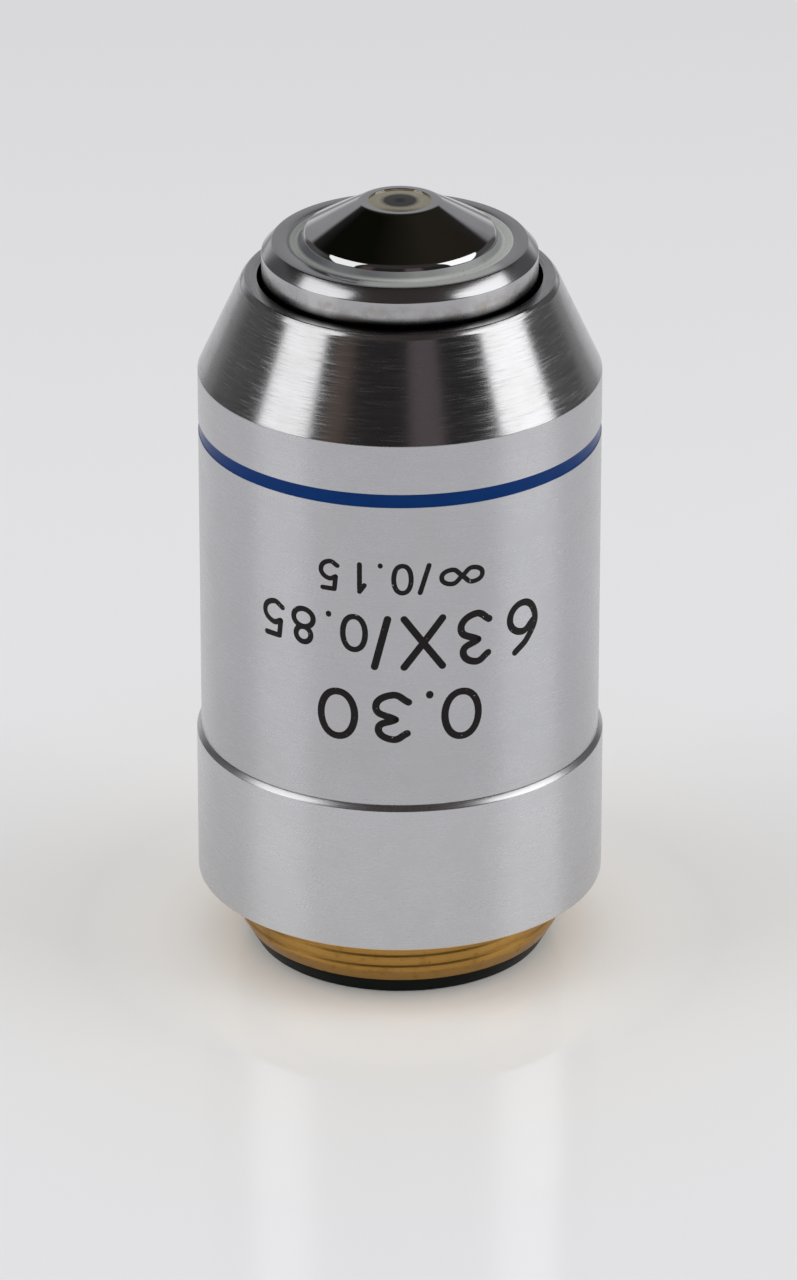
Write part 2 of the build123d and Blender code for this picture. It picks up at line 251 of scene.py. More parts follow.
# %% [markdown]
# Every metal piece here came off a lathe, and a lathe leaves fine rings: they run round the axis
# and change from one height or radius to the next. One noise makes them all. It is stretched
# almost flat round the axis and squeezed along the profile, so a point's place on the object
# is enough and no piece needs its own mapping.

# %% Make the turning marks
MARKS_AROUND = 160.0
MARK_RADIUS_SHARE = 1.3
MARK_DETAIL = 3.0
MARK_ROUGHNESS = 0.6


def turning_marks(finish, fineness, around=MARKS_AROUND):
    """Rings from 0 to 1, fineness rings per metre, that fade in and out round the axis."""
    along = (finish.z - finish.radius * MARK_RADIUS_SHARE) * fineness
    place = finish.join(finish.x * around, finish.y * around, along)
    return finish.noise(place, MARK_DETAIL, MARK_ROUGHNESS)


def clouds(finish, size, detail=2.0):
    """Soft patches from 0 to 1, of about a size in metres: handling marks and haze."""
    place = finish.join(finish.x / size, finish.y / size, finish.z / size)
    return finish.noise(place, detail)


# %% [markdown]
# The sleeve and the base band are brass under satin chrome. Chrome is a fairly dark metal: it
# gives back only about half of the light, so over a pale table it reads mid grey. The satin
# comes from fine rings that the plating did not fill. The band is the mount body's, finished
# apart from the sleeve, and a little brighter. Hands leave faint clouds on both, and have rubbed
# the plating thin on the lower edges, where the brass warms it.

# %% Satin chrome
def grey(level, blue=1.0):
    """A neutral colour, a touch cooler or warmer."""
    return (level, level, level * blue, 1)


def satin_chrome(name, level, worn_edge):
    """Satin chrome that is worn below a height."""
    finish = Finish(name, Metallic=1.0)
    worn = finish.z.below(worn_edge, 0.08 * MM)
    rings = turning_marks(finish, 9000.0)
    haze = clouds(finish, 4.5 * MM)
    smudge = clouds(finish, 1.6 * MM, detail=3.0)
    tone = haze.above(0.5, 0.5) * 0.6 + smudge * 0.4
    plated = finish.blend(tone, grey(level, 1.04), grey(level * 0.93, 1.03))
    finish.colour(worn * 0.6, plated, (0.62, 0.48, 0.30, 1))
    finish.set("Roughness", 0.20 + rings * 0.10 + smudge * 0.06)
    finish.bump(rings, 0.8e-6)
    return finish.material


# %% [markdown]
# The cone and the nose are turned finer than the sleeve and polished. Their reflections have
# edges, but short tool marks still fray them: some rings are rougher than their neighbours, and
# spread the same reflection wider.

# %% Polished chrome
def polished_chrome(name, level, roughness, streaks, ring_depth):
    finish = Finish(name, Metallic=1.0)
    rings = turning_marks(finish, 5200.0, around=260.0)
    dashes = turning_marks(finish, 9000.0, around=600.0).above(0.62, 0.24)
    haze = clouds(finish, 2.2 * MM)
    finish.colour(haze.above(0.6, 0.4), grey(level, 1.02), grey(level * 0.9))
    finish.set("Roughness", roughness + rings * streaks + dashes * streaks * 0.7)
    finish.bump(rings, ring_depth)
    return finish.material


# %% [markdown]
# The front ring is turned like the cone but left duller. Cleaning fluid has dried on it, so its
# side has brownish stains, mostly low down, where it dries last. Where it enters the sleeve,
# painted shade turns it almost black: the dark of the gap, painted on. On its flat top, a thumb
# has wiped some of the wet sealant outwards over a fifth of the way round, and it dried there as
# a milky film.

# %% Stained ring chrome
STAIN_REACH = 1.0 * MM
STAIN_BLUR = 0.6 * MM
GAP_SHADE_HEIGHT = 0.42 * MM
GAP_SHADE_BLUR = 0.50 * MM
FILM_AZIMUTH = math.radians(18)
FILM_HALF_WIDTH = math.radians(36)
FILM_SIDE_BLUR = 0.08
FILM_RADIUS = 7.55 * MM
FILM_RADIUS_BLUR = 0.35 * MM
FILM_HEIGHT = 2.1 * MM
FILM_HEIGHT_BLUR = 0.1 * MM


def ring_chrome():
    finish = Finish("ring_chrome", Metallic=1.0)
    rings = turning_marks(finish, 9000.0, around=300.0)
    low = finish.z.below(top("front_ring") - STAIN_REACH, STAIN_BLUR)
    stain = clouds(finish, 0.9 * MM, detail=3.0).above(0.56, 0.30) * low
    # painted shade: the ring's side darkens to near black towards the gap in the sleeve's rim
    gap_shade = finish.z.below(rim_height + GAP_SHADE_HEIGHT, GAP_SHADE_BLUR)
    plated = finish.blend(stain * 0.4, grey(0.47, 1.03), (0.38, 0.33, 0.25, 1))
    plated = finish.blend(gap_shade * 0.97, plated, (0.004, 0.004, 0.004, 1))
    facing = (finish.x * math.sin(FILM_AZIMUTH) - finish.y * math.cos(FILM_AZIMUTH)) / finish.radius
    wiped = facing.above(math.cos(FILM_HALF_WIDTH), FILM_SIDE_BLUR)
    inner = finish.radius.below(FILM_RADIUS, FILM_RADIUS_BLUR)
    film = wiped * inner * finish.z.above(rim_height + FILM_HEIGHT, FILM_HEIGHT_BLUR)
    finish.colour(film, plated, (0.34, 0.35, 0.33, 1))
    finish.set("Metallic", 1 - film * 0.85)
    finish.set("Roughness", 0.12 + rings * 0.12 + low * 0.05 + stain * 0.12 + film * 0.2)
    finish.bump(rings, 1.3e-6)
    return finish.material


# %% [markdown]
# The thread is bare brass. Handling has browned it all over, and more in its grooves than on
# its crests, so the colour follows the distance from the axis.

# %% Bare brass
BRASS_HANDLED = (0.42, 0.235, 0.060, 1)
BRASS_BROWNED = (0.20, 0.095, 0.020, 1)
THREAD_DEPTH = 0.045 * MM


def thread_brass():
    finish = Finish("thread_brass", Metallic=1.0)
    groove = finish.radius.below(thread_radius - THREAD_DEPTH / 2, THREAD_DEPTH)
    stains = clouds(finish, 0.7 * MM, detail=4.0).above(0.62, 0.12)
    specks = clouds(finish, 0.22 * MM, detail=1.0).above(0.74, 0.04)
    tone = (groove * 0.04 + stains * 0.25 + specks * 0.8).math("MINIMUM", 1.0)
    finish.colour(tone, BRASS_HANDLED, BRASS_BROWNED)
    finish.set("Roughness", 0.28 + stains * 0.12 + groove * 0.08)
    finish.bump(turning_marks(finish, 16000.0), 0.8e-6)
    return finish.material


def turned_brass():
    """Brass inside the objective, clean and bright."""
    finish = Finish("turned_brass", Metallic=1.0)
    rings = turning_marks(finish, 9000.0)
    haze = clouds(finish, 3.0 * MM)
    finish.colour(haze, (0.80, 0.60, 0.30, 1), (0.66, 0.46, 0.20, 1))
    finish.set("Roughness", 0.22 + rings * 0.12)
    finish.bump(rings, 0.9e-6)
    return finish.material


# %% [markdown]
# Inside an objective nearly everything that light could strike is blackened: the cells
# chemically, the spacers and the baffle by anodising. Both blacks still show the lathe's rings.

# %% The two blacks
def black_finish(name, colour, worn, roughness, gloss=0.4):
    finish = Finish(name, Metallic=0.0, Specular_IOR_Level=gloss)
    rings = turning_marks(finish, 6000.0)
    wear = clouds(finish, 0.8 * MM, detail=4.0).above(0.70, 0.10)
    finish.colour(wear * 0.6, colour, worn)
    finish.set("Roughness", roughness + rings * 0.15)
    finish.bump(rings, 1.5e-6)
    return finish.material


# %% [markdown]
# The spring, the shim and the screws are bright steel, a little uneven in its gloss.

# %% Steel for the spring and the screws
def bright_steel():
    finish = Finish("bright_steel", Metallic=1.0)
    grain = clouds(finish, 0.5 * MM, detail=4.0)
    finish.colour(grain, (0.58, 0.57, 0.55, 1), (0.46, 0.45, 0.44, 1))
    finish.set("Roughness", 0.20 + grain * 0.15)
    finish.bump(grain, 2e-6)
    return finish.material


# %% [markdown]
# The colour ring is enamel, run into a groove and cured. It pulls up a little at the groove's
# edges, and its colour is deep because light goes into it and back. A strong gloss would only
# mirror the white table and wash the blue out, so the gloss stays low.

# %% Blue enamel
def blue_enamel():
    finish = Finish("blue_enamel", Specular_IOR_Level=0.08)
    flow = clouds(finish, 1.2 * MM, detail=3.0)
    finish.colour(flow, (0.0004, 0.020, 0.105, 1), (0.001, 0.030, 0.140, 1))
    finish.set("Roughness", 0.18 + flow * 0.10)
    finish.bump(flow, 5e-6)
    return finish.material


# %% [markdown]
# The numbers' black ink is matt, and has flaked off in a few spots, where the metal glints.

# %% Ink in the engraved numbers
def engraving_ink():
    finish = Finish("engraving_ink", Specular_IOR_Level=0.15)
    chips = clouds(finish, 0.16 * MM, detail=2.0).above(0.735, 0.02)
    finish.colour(chips, (0.010, 0.008, 0.008, 1), (0.45, 0.45, 0.46, 1))
    finish.set("Roughness", 0.45 - chips * 0.2)
    finish.set("Metallic", chips)
    return finish.material


# %% [markdown]
# Lenses are clear, so the ones inside are plain glass with a faint coating. The front lens looks
# different: no light comes back through it from the barrel, so it is a dark glossy disc with a
# black pupil, and an olive, half metallic band of cement shines through its edge. One finish by
# distance from the axis gives that from every side, and it also survives the export.

# %% Glass
def lens_glass(name, tint, index):
    finish = Finish(name, Roughness=0.02, Transmission_Weight=1.0, IOR=index)
    coating = finish.radius.above(1.2 * MM, 2.4 * MM)
    finish.colour(coating, tint, (0.86, 0.92, 0.94, 1))
    return finish.material


def front_lens_glass():
    finish = Finish("front_lens_glass", Specular_IOR_Level=0.10)
    patches = clouds(finish, 0.45 * MM, detail=3.0)
    cement = finish.radius.above(1.22 * MM, 0.55 * MM)
    olive = finish.blend(patches, (0.54, 0.50, 0.37, 1), (0.40, 0.36, 0.26, 1))
    # painted shade: the lens's middle is a dark disc with a black pupil, standing for the dark
    # barrel behind the glass
    pupil_shade = finish.radius.below(0.30 * MM, 0.44 * MM)
    shaded_disc = finish.blend(pupil_shade, (0.024, 0.022, 0.022, 1), (0.001, 0.001, 0.001, 1))
    finish.colour(cement, shaded_disc, olive)
    finish.set("Metallic", cement * 0.95)
    finish.set("Roughness", 0.05 + cement * 0.04)
    return finish.material


# %% [markdown]
# The sealant is a clear varnish gone milky: a grey-olive body under a wet-looking skin. It is
# thickest in the middle of the trough. Its colour also holds painted light and shade: painted
# shade darkens it along the cone's wall and at the ring's lip, most of all on the left, and its
# right side is painted paler, as if lit from there. The front lens is cemented with the same,
# but browner.

# %% Sealant
WALL_SHADE_REACH = 0.56 * MM
WALL_SHADE_BLUR = 0.16 * MM
LIP_SHADE_WIDTH = 0.10 * MM


def sealant(lit_colour, shaded_colour):
    finish = Finish("sealant", Specular_IOR_Level=0.6)
    lumps = clouds(finish, 0.6 * MM, detail=4.0)
    dirt = clouds(finish, 0.22 * MM, detail=2.0).above(0.72, 0.05)
    lip = outer("sealing_bead")
    # painted light and shade: the right side is painted paler, as if lit; painted shade darkens the
    # sealant on the cone's wall and at the ring's lip, most on the left
    lit_side = finish.x.above(-1.0 * MM, 4.0 * MM)
    wall_shade = finish.radius.below(lip - WALL_SHADE_REACH, WALL_SHADE_BLUR) * (0.92 - lit_side * 0.38)
    lip_shade = finish.radius.above(lip - LIP_SHADE_WIDTH, LIP_SHADE_WIDTH) * (0.75 - lit_side * 0.65)
    # the lit and shaded colours, blended by side and by lumps, then the painted shade laid over them
    base = finish.blend(lit_side * 0.7 + lumps * 0.3, shaded_colour, lit_colour)
    base = finish.blend(wall_shade.math("MAXIMUM", lip_shade), base, (0.055, 0.060, 0.068, 1))
    finish.colour(dirt * 0.7, base, (0.05, 0.04, 0.03, 1))
    finish.set("Roughness", 0.22 + lumps * 0.16)
    finish.bump(lumps, 12e-6)
    return finish.material


def lens_cement():
    finish = Finish("lens_cement", Specular_IOR_Level=0.6)
    lumps = clouds(finish, 0.6 * MM, detail=4.0)
    finish.colour(lumps, (0.12, 0.09, 0.04, 1), (0.26, 0.22, 0.12, 1))
    finish.set("Roughness", 0.22 + lumps * 0.16)
    return finish.material


# %% [markdown]
# One table holds every finish under a short name.

# %% Collect the finishes
materials = {
    "satin": satin_chrome("sleeve_satin", level=0.56, worn_edge=sleeve_bottom),
    "band": satin_chrome("band_satin", level=0.62, worn_edge=shoulder + 0.09 * MM),
    "cone": polished_chrome("cone_chrome", level=0.50, roughness=0.07, streaks=0.20,
                            ring_depth=0.7e-6),
    "ring": ring_chrome(),
    "nose": polished_chrome("nose_chrome", level=0.52, roughness=0.03, streaks=0.04,
                            ring_depth=0.10e-6),
    "thread": thread_brass(),
    "brass": turned_brass(),
    "black_paint": black_finish("black_paint", (0.004, 0.006, 0.005, 1), (0.012, 0.012, 0.010, 1),
                                roughness=0.30, gloss=0.03),
    "anodised": black_finish("black_anodised", (0.016, 0.016, 0.018, 1), (0.09, 0.09, 0.09, 1),
                             roughness=0.40),
    "blackened": black_finish("blackened_brass", (0.035, 0.028, 0.022, 1), (0.30, 0.20, 0.09, 1),
                              roughness=0.35),
    "steel": bright_steel(),
    "enamel": blue_enamel(),
    "ink": engraving_ink(),
    "crown": lens_glass("crown_glass", (0.80, 0.90, 0.93, 1), 1.52),
    "flint": lens_glass("flint_glass", (0.92, 0.90, 0.80, 1), 1.62),
    "front_lens": front_lens_glass(),
    "sealant": sealant((0.43, 0.44, 0.42, 1), (0.235, 0.24, 0.225, 1)),
    "cement": lens_cement(),
}

# %% [markdown]
# A turned piece is an outline spun round the axis. The outline's corners are rounded first, as
# a lathe hand breaks an edge, because it is the edge that catches the light: bmesh bevels the
# corner vertices of the outline while it is still a loop of edges, and the spin then carries
# the small arc all the way round.

# %% Turn an outline
SPIN_STEPS = 256
EDGE_SEGMENTS = 3
FILLET_SEGMENTS = 10
FILLET_SIZE = 0.18 * MM
MERGE = 1e-7
SHARP = math.radians(28)


def draw_outline(mesh, corners, closed=True):
    """Add an outline to a bmesh from (radius, height, rounding) corners, and round them."""
    verts = [mesh.verts.new((radius, 0, height)) for radius, height, rounding in corners]
    pairs = list(zip(verts, verts[1:])) + ([(verts[-1], verts[0])] if closed else [])
    for pair in pairs:
        mesh.edges.new(pair)
    for size in sorted({rounding for radius, height, rounding in corners if rounding}):
        chosen = [vert for vert, corner in zip(verts, corners) if corner[2] == size]
        segments = EDGE_SEGMENTS if size < FILLET_SIZE else FILLET_SEGMENTS
        bmesh.ops.bevel(mesh, geom=chosen, offset=size, offset_type="OFFSET", affect="VERTICES",
                        segments=segments, profile=0.5, material=-1)


def clean(mesh):
    """Merge the points that meet, drop faces of no size, and turn all faces outwards."""
    bmesh.ops.remove_doubles(mesh, verts=mesh.verts, dist=MERGE)
    bmesh.ops.dissolve_degenerate(mesh, edges=mesh.edges, dist=MERGE)
    bmesh.ops.recalc_face_normals(mesh, faces=mesh.faces)


def spin_round(mesh):
    """Spin everything in a bmesh once round the axis and close it."""
    bmesh.ops.spin(mesh, geom=mesh.verts[:] + mesh.edges[:], cent=(0, 0, 0), axis=(0, 0, 1),
                   angle=2 * math.pi, steps=SPIN_STEPS, use_merge=True)
    clean(mesh)


def pour_into(mesh, other):
    """Add all of another bmesh to a bmesh, and free the other."""
    spare = bpy.data.meshes.new("spare")
    other.to_mesh(spare)
    other.free()
    mesh.from_mesh(spare)
    bpy.data.meshes.remove(spare)


def finish_piece(mesh, name, body, slots, node=None):
    """Turn a bmesh into an object with its materials, hang it on its body, and hide the node it
    replaces.
    """
    data = bpy.data.meshes.new(name)
    mesh.to_mesh(data)
    mesh.free()
    for polygon in data.polygons:
        polygon.use_smooth = True
    data.set_sharp_from_angle(angle=SHARP)
    for key in slots:
        data.materials.append(materials[key])
    piece = bpy.data.objects.new(name, data)
    show(piece)
    weighted = piece.modifiers.new("even_shading", "WEIGHTED_NORMAL")
    weighted.keep_sharp = True
    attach(piece, body)
    if node:
        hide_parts(node)
    print(f"{name}: {len(data.polygons)} faces")
    return piece


def turned_piece(name, corners, body, material, node, closed=True):
    """A finished piece of one material from one outline. An open one starts and ends on the axis."""
    mesh = bmesh.new()
    draw_outline(mesh, corners, closed)
    spin_round(mesh)
    finish_piece(mesh, name, body, [material], node)


# %% [markdown]
# The mount body is one brass turning: nosepiece thread, base band, spigot for the sleeve and
# guide tube. The band is chromed, the thread is bare and its end is painted black. It is spun
# in one piece from the end face up, except for the stretch where the thread goes.

# %% Sizes of the mount body
ROOT_RADIUS = thread_radius - 0.46 * MM
END_RADIUS = ROOT_RADIUS - 0.66 * MM
END_TAPER_TOP = 1.15 * MM
END_ROUNDING = 0.15 * MM
REAR_CHAMFER = 0.3 * MM
LEAD_IN_TOP = END_TAPER_TOP + 0.80 * MM
RELIEF_HEIGHT = 0.30 * MM
BAND_BEVEL = 0.30 * MM
SPIGOT_LENGTH = 3.2 * MM
SLEEVE_WALL = 1.08 * MM
SCREWED_GAP = 0.02 * MM
GUIDE_WALL = 1.40 * MM
RUNNING_GAP = 0.04 * MM
WEB_LEDGE = 2.0 * MM

thread_top = shoulder - RELIEF_HEIGHT
sleeve_bore = sleeve_radius - SLEEVE_WALL
spigot_radius = sleeve_bore - SCREWED_GAP
spigot_top = sleeve_bottom + SPIGOT_LENGTH
guide_bore = outer("lens_barrel") + RUNNING_GAP
guide_radius = guide_bore + GUIDE_WALL
guide_top = top("mount_body")
spring_seat = bottom("return_spring")
rear_bore = outer("rear_baffle") + SCREWED_GAP
rear_bore_top = top("rear_baffle")
web_bore = guide_bore - WEB_LEDGE

# %% [markdown]
# A screw thread is the same spin with a lift: while the outline goes once round, it also rises
# by one pitch, so its last tooth lands on the next tooth's start. The spin operator does this
# with its dvec. This thread has 36 turns to the inch and worn, broad crests between narrow
# grooves. The teeth that run past the ends are pressed back into the plain stretches, and the
# lead-in cone cuts the first crests, as on the real one.

# %% Cut the nosepiece thread
PITCH = 25.4 / 36 * MM
GROOVE_RADIUS = thread_radius - THREAD_DEPTH
TOOTH = ((0.0, GROOVE_RADIUS), (0.04, GROOVE_RADIUS), (0.26, thread_radius), (0.78, thread_radius))
SLOPE_POINTS = 3


def thread_outline():
    """Radius and height of one line of teeth, from a pitch below the thread to one above."""
    points = []
    height = END_TAPER_TOP - PITCH
    while height < thread_top + PITCH:
        points += [(radius, height + share * PITCH) for share, radius in TOOTH]
        height += PITCH
    return points


def envelope(height):
    """The largest radius that the lead-in cone leaves at a height."""
    share = (height - END_TAPER_TOP) / (LEAD_IN_TOP - END_TAPER_TOP)
    return ROOT_RADIUS + (thread_radius - ROOT_RADIUS) * min(max(share, 0), 1)


def cut_thread(mesh):
    """Add the thread's surface to a bmesh, between the end taper and the shoulder's relief."""
    verts = [mesh.verts.new((radius, 0, height)) for radius, height in thread_outline()]
    edges = [mesh.edges.new(pair) for pair in zip(verts, verts[1:])]
    bmesh.ops.subdivide_edges(mesh, edges=edges, cuts=SLOPE_POINTS)
    bmesh.ops.spin(mesh, geom=mesh.verts[:] + mesh.edges[:], cent=(0, 0, 0), axis=(0, 0, 1),
                   dvec=(0, 0, PITCH / SPIN_STEPS), angle=2 * math.pi, steps=SPIN_STEPS)
    for vert in mesh.verts:
        radius = math.hypot(vert.co.x, vert.co.y)
        height = min(max(vert.co.z, END_TAPER_TOP), thread_top)
        wanted = min(radius, envelope(height))
        if height in (END_TAPER_TOP, thread_top):
            wanted = ROOT_RADIUS
        vert.co.x *= wanted / radius
        vert.co.y *= wanted / radius
        vert.co.z = height


# %% [markdown]
# The outline stays open where the thread goes. A face's place says which finish it gets.

# %% Turn the mount body round its thread
EDGE = 0.10 * MM
FINE_EDGE = 0.04 * MM
CHROMED, BARE, PAINTED, INSIDE = range(4)
MOUNT_SLOTS = ["band", "thread", "black_paint", "brass"]

mount_corners = [
    (ROOT_RADIUS, END_TAPER_TOP, 0),
    (END_RADIUS, 0, END_ROUNDING),
    (rear_bore + REAR_CHAMFER, 0, FINE_EDGE),
    (rear_bore, REAR_CHAMFER, FINE_EDGE),
    (rear_bore, rear_bore_top, 0),
    (web_bore, rear_bore_top, FINE_EDGE),
    (web_bore, spring_seat, FINE_EDGE),
    (guide_bore, spring_seat, 0),
    (guide_bore, guide_top, FINE_EDGE),
    (guide_radius, guide_top, EDGE),
    (guide_radius, spigot_top, 0),
    (spigot_radius, spigot_top, EDGE),
    (spigot_radius, sleeve_bottom, 0),
    (sleeve_radius, sleeve_bottom, FINE_EDGE),
    (band_radius, sleeve_bottom - BAND_BEVEL, FINE_EDGE),
    (band_radius, shoulder, EDGE),
    (ROOT_RADIUS, shoulder, 0),
    (ROOT_RADIUS, thread_top, 0),
]


def mount_material(face):
    """Which of the mount body's finishes a face has: chrome, bare brass, black or inner brass."""
    centre = face.calc_center_median()
    radius = math.hypot(centre.x, centre.y)
    if centre.z < END_TAPER_TOP + MERGE or (centre.z < spring_seat and radius < rear_bore + EDGE):
        return PAINTED
    if centre.z < shoulder - MERGE and radius > rear_bore + EDGE:
        return BARE
    if centre.z > sleeve_bottom + MERGE or radius < guide_radius:
        return INSIDE
    return CHROMED if centre.z > shoulder - MERGE else BARE


def build_mount_body():
    mesh = bmesh.new()
    draw_outline(mesh, mount_corners, closed=False)
    spin_round(mesh)
    thread = bmesh.new()
    cut_thread(thread)
    pour_into(mesh, thread)
    clean(mesh)
    for face in mesh.faces:
        face.material_index = mount_material(face)
    open_edges = sum(1 for edge in mesh.edges if not edge.is_manifold)
    print("mount body open edges:", open_edges)
    finish_piece(mesh, "mount_body_turned", "mount", MOUNT_SLOTS, "mount_body")


build_mount_body()

# %% [markdown]
# The sleeve is a plain tube with a groove for the colour ring, a cone, and a rim that closes in
# on the nose. Its cylinder is satin and its cone polished, so the cone gets the second material.

# %% Turn the sleeve
RIM_BEVEL_WIDTH = 0.25 * MM
RIM_BEVEL_HEIGHT = 0.29 * MM
RIM_WIDTH = 0.76 * MM
RIM_THICKNESS = 1.20 * MM
NOSE_GAP = 0.27 * MM
CONE_LENGTH = 5.76 * MM
GROOVE_DEPTH = 0.25 * MM
SATIN, POLISHED, BORE = range(3)

groove_bottom = bottom("colour_band")
groove_top = top("colour_band")
opening_radius = outer("front_ring") + NOSE_GAP
rim_outer = opening_radius + RIM_WIDTH
cone_top_radius = rim_outer + RIM_BEVEL_WIDTH
cone_start = rim_height - RIM_BEVEL_HEIGHT - CONE_LENGTH
cone_slope = (sleeve_radius - cone_top_radius) / CONE_LENGTH
under_rim = cone_top_radius + cone_slope * (RIM_THICKNESS - RIM_BEVEL_HEIGHT) - SLEEVE_WALL

sleeve_corners = [
    (sleeve_bore, sleeve_bottom, FINE_EDGE),
    (sleeve_radius, sleeve_bottom, FINE_EDGE),
    (sleeve_radius, groove_bottom, FINE_EDGE / 2),
    (sleeve_radius - GROOVE_DEPTH, groove_bottom, 0),
    (sleeve_radius - GROOVE_DEPTH, groove_top, 0),
    (sleeve_radius, groove_top, FINE_EDGE / 2),
    (sleeve_radius, cone_start, FINE_EDGE),
    (cone_top_radius, rim_height - RIM_BEVEL_HEIGHT, FINE_EDGE),
    (rim_outer, rim_height, FINE_EDGE),
    (opening_radius, rim_height, FINE_EDGE),
    (opening_radius, rim_height - RIM_THICKNESS, 0),
    (under_rim, rim_height - RIM_THICKNESS, 0),
    (sleeve_bore, cone_start, 0),
]


def build_sleeve():
    mesh = bmesh.new()
    draw_outline(mesh, sleeve_corners)
    spin_round(mesh)
    for face in mesh.faces:
        centre = face.calc_center_median()
        radius = math.hypot(centre.x, centre.y)
        inside = radius < sleeve_bore + MERGE or centre.z < sleeve_bottom + MERGE
        under_the_rim = centre.z < rim_height - RIM_THICKNESS
        face.material_index = BORE if inside and under_the_rim else SATIN
        if centre.z > cone_start + MERGE and face.normal.z > -0.1 and radius > opening_radius:
            face.material_index = POLISHED
    finish_piece(mesh, "outer_sleeve_turned", "mount", ["satin", "cone", "brass"],
                 "outer_sleeve")


build_sleeve()

# %% [markdown]
# The enamel lies a hair below the sleeve's surface and climbs a little at both edges of its
# groove, as a liquid does before it sets.

# %% Fill the groove with enamel
ENAMEL_RECESS = 0.03 * MM
ENAMEL_HOLLOW = 0.025 * MM
ENAMEL_CLIMB = 0.14 * MM
ENAMEL_ROUNDING = 0.10 * MM
enamel_outer = sleeve_radius - ENAMEL_RECESS
enamel_corners = [
    (sleeve_radius - GROOVE_DEPTH, groove_bottom, 0),
    (enamel_outer, groove_bottom, 0),
    (enamel_outer - ENAMEL_HOLLOW, groove_bottom + ENAMEL_CLIMB, ENAMEL_ROUNDING),
    (enamel_outer - ENAMEL_HOLLOW, groove_top - ENAMEL_CLIMB, ENAMEL_ROUNDING),
    (enamel_outer, groove_top, 0),
    (sleeve_radius - GROOVE_DEPTH, groove_top, 0),
]
turned_piece("enamel_ring", enamel_corners, "mount", "enamel", "colour_band")

# %% [markdown]
# The sliding nose shows three pieces: the chromed ring that screws onto the barrel, the polished
# front cell that it clamps, and the bead of sealant between them.

# %% Turn the front ring and the nose cone
RING_BEVEL_WIDTH = 0.64 * MM
RING_BEVEL_HEIGHT = 0.75 * MM
RING_FLAT_DROP = 0.05 * MM
LIP_HEIGHT = 0.75 * MM
FLANGE = 0.80 * MM
RING_WALL = 1.12 * MM
NOSE_WALL_HEIGHT = 0.90 * MM
TIP_RADIUS = 2.50 * MM
TROUGH_WIDTH = 0.80 * MM
LENS_GAP = 0.02 * MM
LENS_DEPTH = 1.45 * MM
FRONT_SEAT = 0.30 * MM
THROAT_LENGTH = 0.3 * MM
FLANGE_GAP = 0.14 * MM
TIP_EDGE = 0.03 * MM
SKIRT_BORE = 3.72 * MM
TIP_ROUNDING = 0.12 * MM
NOSE_ROUNDING = 0.34 * MM
TIP_FALL = 0.045 * MM

ring_radius = outer("front_ring")
ring_top = top("front_ring") - RING_FLAT_DROP
ring_bottom = bottom("front_ring")
ring_bore = ring_radius - RING_WALL
ring_mouth = outer("sealing_bead")
trough_floor = bottom("sealing_bead")
flange_top = trough_floor - LIP_HEIGHT
nose_radius = ring_mouth - TROUGH_WIDTH
cone_base = trough_floor + NOSE_WALL_HEIGHT
nose_tip = top("nose_cone")
lens_radius = outer("front_lens")
lens_face = top("front_lens")
skirt_bottom = bottom("nose_cone")
cell_radius = outer("meniscus_cell")
lens_throat = lens_radius - FRONT_SEAT
lens_seat = lens_face - LENS_DEPTH

turned_piece("front_ring_turned", [
    (ring_bore, ring_bottom, FINE_EDGE),
    (ring_radius, ring_bottom, EDGE),
    (ring_radius, ring_top + RING_FLAT_DROP - RING_BEVEL_HEIGHT, FINE_EDGE),
    (ring_radius - RING_BEVEL_WIDTH, ring_top, FINE_EDGE),
    (ring_mouth, ring_top, EDGE),
    (ring_mouth, flange_top, 0),
    (ring_bore, flange_top, 0),
], "nose", "ring", "front_ring")

turned_piece("nose_cone_turned", [
    (SKIRT_BORE, skirt_bottom, 0),
    (cell_radius, skirt_bottom, EDGE),
    (cell_radius, flange_top - FLANGE, 0),
    (ring_bore - FLANGE_GAP, flange_top - FLANGE, 0),
    (ring_bore - FLANGE_GAP, flange_top, 0),
    (ring_mouth - LENS_GAP, flange_top, 0),
    (ring_mouth - LENS_GAP, trough_floor, 0),
    (nose_radius, trough_floor, FINE_EDGE),
    (nose_radius, cone_base, NOSE_ROUNDING),
    (TIP_RADIUS, nose_tip - TIP_FALL, TIP_ROUNDING),
    (lens_radius + LENS_GAP, nose_tip, TIP_EDGE),
    (lens_radius + LENS_GAP, lens_seat, 0),
    (lens_throat, lens_seat, 0),
    (lens_throat, lens_seat - THROAT_LENGTH, 0),
], "nose", "nose", "nose_cone")

# %% [markdown]
# The sealant was run into the trough wet. It climbs high up the cone's wall, falls steeply to
# the trough, and wets the ring's lip, where it ends as a thin smear on the flat. The large
# rounding of its middle corner makes the hollow.

# %% Run the sealant
WALL_RISE = 0.70 * MM
SEALANT_LEVEL = 0.20 * MM
RISE_WIDTH = 0.26 * MM
SMEAR_WIDTH = 0.09 * MM
SMEAR_THICKNESS = 0.02 * MM
WALL_OVERLAP = 0.05 * MM
LIP_OVERLAP = 0.01 * MM
FEATHER = 0.06 * MM
HOLLOW_ROUNDING = 0.20 * MM
sealant_middle = nose_radius + RISE_WIDTH

